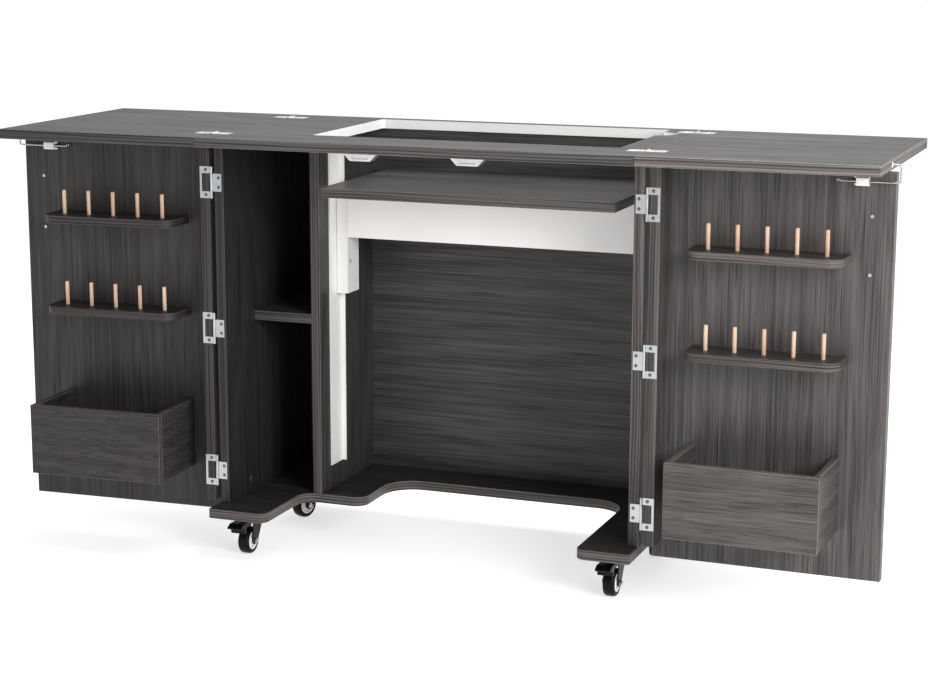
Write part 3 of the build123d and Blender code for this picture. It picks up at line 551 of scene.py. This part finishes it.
FOLD_SCREW_R = 2.6 * MM
FOLD_SCREW_RISE = 0.3 * MM
FOLD_SEAM = 1.6 * MM              # from a leaf plate's edge to the seam
FOLD_SCREW_X = 20 * MM            # screws from the seam and from the plate's middle
FOLD_SCREW_Y = 7 * MM
FOLD_HALF_WIDE = 14 * MM


def make_fold_hinge_screws(nickel):
    """Two low screws in every plate of the fold hinges."""
    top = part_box("centre_top")[1].z
    centre_spots = []
    for side_name, side in SIDES.items():
        low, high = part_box(f"{side_name}_fold_hinge_plates")
        seam = (low.x if side > 0 else high.x) + side * FOLD_SEAM
        leaf_spots = []
        for y in (low.y + FOLD_HALF_WIDE, high.y - FOLD_HALF_WIDE):
            for across in (-FOLD_SCREW_Y, FOLD_SCREW_Y):
                leaf_spots.append(((seam + side * FOLD_SCREW_X, y + across, top), (0, 0, 1)))
                centre_spots.append(((seam - side * FOLD_SCREW_X, y + across, top), (0, 0, 1)))
        make_screws(f"{side_name}_fold_hinge_screws", f"{side_name}_leaf", "nickel_steel", nickel,
                    leaf_spots, FOLD_SCREW_R, FOLD_SCREW_RISE)
    make_screws("fold_hinge_centre_screws", "cabinet", "nickel_steel", nickel, centre_spots, FOLD_SCREW_R,
                FOLD_SCREW_RISE)


HOOK_FROM_CLIP = 48.8 * MM        # the hook's tip and the run's inner end, measured from the clip
CURL_FROM_CLIP = 36.0 * MM
HOOK_BELOW_TOP = 1.5 * MM         # the hook's middle, below the wire's highest point
CURL_R = 2.2 * MM
CURL_WIRE_R = 1.2 * MM
CURL_ADVANCE = 5.5 * MM
CURL_TURNS = 1.6
CURL_LEAN = 0.55
CURL_STEPS = 26
CURL_SPOKES = 12
BUSHING_PROFILE = ((2.3, -6.0), (2.3, 0.2), (2.7, 0.9), (3.9, 0.9), (4.5, 0.3), (4.5, -0.1), (2.48, -0.1),
                   (2.48, -6.0))


def make_hook_bushings(white_plastic):
    """White plastic rims round the sockets in the leaves' ends, where the wires hook in."""
    profile = in_metres(BUSHING_PROFILE)
    for side_name, side in SIDES.items():
        end_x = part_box(f"{side_name}_leaf_top")[1 if side > 0 else 0].x
        clip, outward, _ = wire_frame(side_name, side)
        hook = clip + outward * HOOK_FROM_CLIP
        centre = Vector((end_x, hook.y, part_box(f"{side_name}_support_wire")[1].z - HOOK_BELOW_TOP))
        bm = bmesh.new()
        lathe(bm, centre, (side, 0, 0), profile, segments=36)
        piece_from(bm, f"{side_name}_hook_bushing", f"{side_name}_leaf", "white_plastic", white_plastic)


def curl_ring(bm, start, outward, back, share):
    """One ring of vertices of a curl, at a share of its length."""
    angle = 2 * math.pi * CURL_TURNS * share
    middle = start - outward * CURL_ADVANCE * share - back * CURL_R * math.sin(angle)
    middle.z += CURL_R * (1 - math.cos(angle))
    ahead = -outward * CURL_LEAN - back * math.cos(angle) + Vector((0, 0, math.sin(angle)))
    _, first, second = axes_from(ahead)
    ring = []
    for n in range(CURL_SPOKES):
        turn = 2 * math.pi * n / CURL_SPOKES
        spoke = first * math.cos(turn) + second * math.sin(turn)
        ring.append(bm.verts.new(middle + spoke * CURL_WIRE_R))
    return ring


def make_wire_curls(zinc):
    """The support wires' inner ends, curled up so that they cannot slip through their clips."""
    for side_name, side in SIDES.items():
        clip, outward, back = wire_frame(side_name, side)
        start = clip - outward * CURL_FROM_CLIP
        bm = bmesh.new()
        rings = [curl_ring(bm, start, outward, back, step / CURL_STEPS) for step in range(CURL_STEPS + 1)]
        for low_ring, high_ring in zip(rings, rings[1:]):
            for n in range(CURL_SPOKES):
                after = (n + 1) % CURL_SPOKES
                bm.faces.new((low_ring[n], low_ring[after], high_ring[after], high_ring[n]))
        bm.faces.new(reversed(rings[0]))
        bm.faces.new(rings[-1])
        piece_from(bm, f"{side_name}_wire_curl", f"{side_name}_wire", "zinc_steel", zinc)


CAM_CAP_PROFILE = ((0.05, 0.5), (6.2, 0.5), (6.9, 0.1), (6.9, -0.1))
CAM_CAP_HEIGHT = 24 * MM
CAM_CAP_SHARES = (0.24, 0.78)         # along the side panel, from its front edge


def make_cam_covers(plastic):
    """Thin caps over the two cam locks near the foot of the left side panel."""
    low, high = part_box("left_side_panel")
    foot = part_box("base_panel")[1].z + CAM_CAP_HEIGHT
    bm = bmesh.new()
    for share in CAM_CAP_SHARES:
        centre = (high.x, low.y + (high.y - low.y) * share, foot)
        lathe(bm, centre, (1, 0, 0), in_metres(CAM_CAP_PROFILE), segments=36, closed=False)
    piece_from(bm, "cam_covers", "cabinet", "caster_black", plastic)


# ---------------------------------------------------------------- casters
# radius and distance from the wheel's middle plane, in millimetres
TREAD_PROFILE = ((17.0, 9.4), (18.2, 10.6), (20.4, 10.8), (22.6, 10.0), (24.2, 8.2), (24.9, 5.6), (25.0, 2.6))
HUB_PROFILE = ((17.0, 9.4), (16.6, 10.4), (15.2, 10.9), (13.8, 10.5), (13.0, 9.2), (12.4, 7.4), (9.2, 6.9),
               (8.2, 7.3), (7.8, 9.6), (7.0, 10.6))
CAP_PROFILE = ((7.0, 10.6), (6.2, 10.9), (4.4, 10.9), (3.5, 10.4), (3.2, 9.6))
BORE_PROFILE = ((3.2, 9.6), (3.2, -9.6))
WHEEL_SEGMENTS = 72


def mirrored(profile):
    """The profile on one side of a wheel, and its mirror image on the other in reverse."""
    near = in_metres(profile)
    return near, [(radius, -distance) for radius, distance in reversed(near)]


def make_wheels(zinc):
    """Wheels with a rounded tread, an off-white hub ring and a bright bearing cap."""
    tread = moulded("tread_black", TREAD_BLACK, rough=0.38, specular=0.12, mottling=0.25)
    hub = moulded("hub_ring", HUB_CREAM, rough=0.4)
    for caster in CASTERS:
        low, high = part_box(f"{caster}_caster_wheel")
        centre = (low + high) / 2
        axis = JOINTS[f"{caster}_roll"]["axis"]
        bm = bmesh.new()
        for number, profile in enumerate((TREAD_PROFILE, HUB_PROFILE, CAP_PROFILE)):
            near, far = mirrored(profile)
            halves = (near + far,) if profile is TREAD_PROFILE else (near, far)
            for half in halves:
                lathe(bm, centre, axis, half, segments=WHEEL_SEGMENTS, material=number, closed=False)
        lathe(bm, centre, axis, in_metres(BORE_PROFILE), segments=WHEEL_SEGMENTS, material=2, closed=False)
        bmesh.ops.remove_doubles(bm, verts=bm.verts, dist=1e-6)
        wheel = piece_from(bm, f"{caster}_wheel_detailed", f"{caster}_wheel", "caster_tread", tread, hub,
                           zinc, smooth_angle=50.0)
        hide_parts(f"{caster}_caster_wheel")


# ---------------------------------------------------------------- studio
FLOOR_ALBEDO = 0.72
FLOOR_GLOW = 0.62                 # near the object, where its shadow falls
FAR_GLOW = 0.72
GLOW_REACH = 4.0                  # where the far glow is reached
GLOW_NEAR = 0.62                  # share of the fade from which the near glow holds
FLOOR_HALF = 30.0
FLOOR_DROP = 0.0002
WORLD_SEEN = 1.2
WORLD_LIGHT = 0.45


def make_floor():
    """Pale floor that stays near white and takes a faint shadow."""
    bm = bmesh.new()
    bmesh.ops.create_grid(bm, x_segments=1, y_segments=1, size=FLOOR_HALF)
    mesh = bpy.data.meshes.new("floor")
    bm.to_mesh(mesh)
    bm.free()
    floor = bpy.data.objects.new("floor", mesh)
    floor.location.z = -FLOOR_DROP
    bpy.context.scene.collection.objects.link(floor)
    g = Graph("floor_white")
    g.shader.inputs["Emission Color"].default_value = (1, 1, 1, 1)
    glow = g.span(g.round_fade(GLOW_REACH), 0.0, GLOW_NEAR, FAR_GLOW, FLOOR_GLOW)
    g.put(g.shader.inputs["Emission Strength"], glow)
    mesh.materials.append(g.finish(grey(FLOOR_ALBEDO), 0.9, specular=0.0))


def make_world():
    """White surroundings: full white behind the object, softer as a source of light."""
    world = bpy.data.worlds.new("studio")
    world.use_nodes = True
    nodes, links = world.node_tree.nodes, world.node_tree.links
    nodes.clear()
    seen = nodes.new("ShaderNodeBackground")
    light = nodes.new("ShaderNodeBackground")
    seen.inputs["Strength"].default_value = WORLD_SEEN
    light.inputs["Strength"].default_value = WORLD_LIGHT
    for node in (seen, light):
        node.inputs["Color"].default_value = (1, 1, 1, 1)
    path = nodes.new("ShaderNodeLightPath")
    mix = nodes.new("ShaderNodeMixShader")
    out = nodes.new("ShaderNodeOutputWorld")
    links.new(path.outputs["Is Camera Ray"], mix.inputs[0])
    links.new(light.outputs[0], mix.inputs[1])
    links.new(seen.outputs[0], mix.inputs[2])
    links.new(mix.outputs[0], out.inputs[0])
    bpy.context.scene.world = world


def make_softbox(name, place, aim, size, watts):
    """Rectangular area light aimed at a point."""
    data = bpy.data.lights.new(name, "AREA")
    data.shape = "RECTANGLE"
    data.size, data.size_y = size
    data.energy = watts
    lamp = bpy.data.objects.new(name, data)
    lamp.location = place
    lamp.rotation_euler = (Vector(aim) - Vector(place)).to_track_quat("-Z", "Y").to_euler()
    bpy.context.scene.collection.objects.link(lamp)


# name: place, aim, width and height, watts
SOFTBOXES = {
    "key_right": ((2.5, -2.0, 1.6), (0.2, 0.0, 0.45), (1.3, 1.3), 76),
    "overhead": ((0.4, 0.4, 3.0), (0.1, 0.0, 0.7), (3.0, 2.0), 96),
}


def make_lights():
    for name, looks in SOFTBOXES.items():
        make_softbox(name, *looks)


CAMERA_PLACE = (1.3741, -3.5586, 1.1620)
CAMERA_TURN = (90.0 - 11.766, 0.0, 21.483)     # tilted down from level, and turned to the left
CAMERA_LENS = 83.57
CAMERA_SHIFT = (0.0314, 0.0183)


def make_camera():
    data = bpy.data.cameras.new("camera")
    data.sensor_width = 36.0
    data.lens = CAMERA_LENS
    data.shift_x, data.shift_y = CAMERA_SHIFT
    camera = bpy.data.objects.new("camera", data)
    camera.location = CAMERA_PLACE
    camera.rotation_euler = Euler([math.radians(angle) for angle in CAMERA_TURN])
    bpy.context.scene.collection.objects.link(camera)
    bpy.context.scene.camera = camera


# ---------------------------------------------------------------- build
make_camera()
make_world()
make_lights()
make_floor()
dress_boards()
metals = dress_hardware()
make_hinge_screws(metals["screws"])
make_fold_hinge_screws(metals["nickel"])
make_hook_bushings(metals["white_plastic"])
make_wire_curls(metals["zinc"])
make_cam_covers(moulded("cam_cover_grey", CAP_GREY, rough=0.5))
make_wheels(metals["zinc"])
bpy.context.scene.view_settings.view_transform = "Standard"
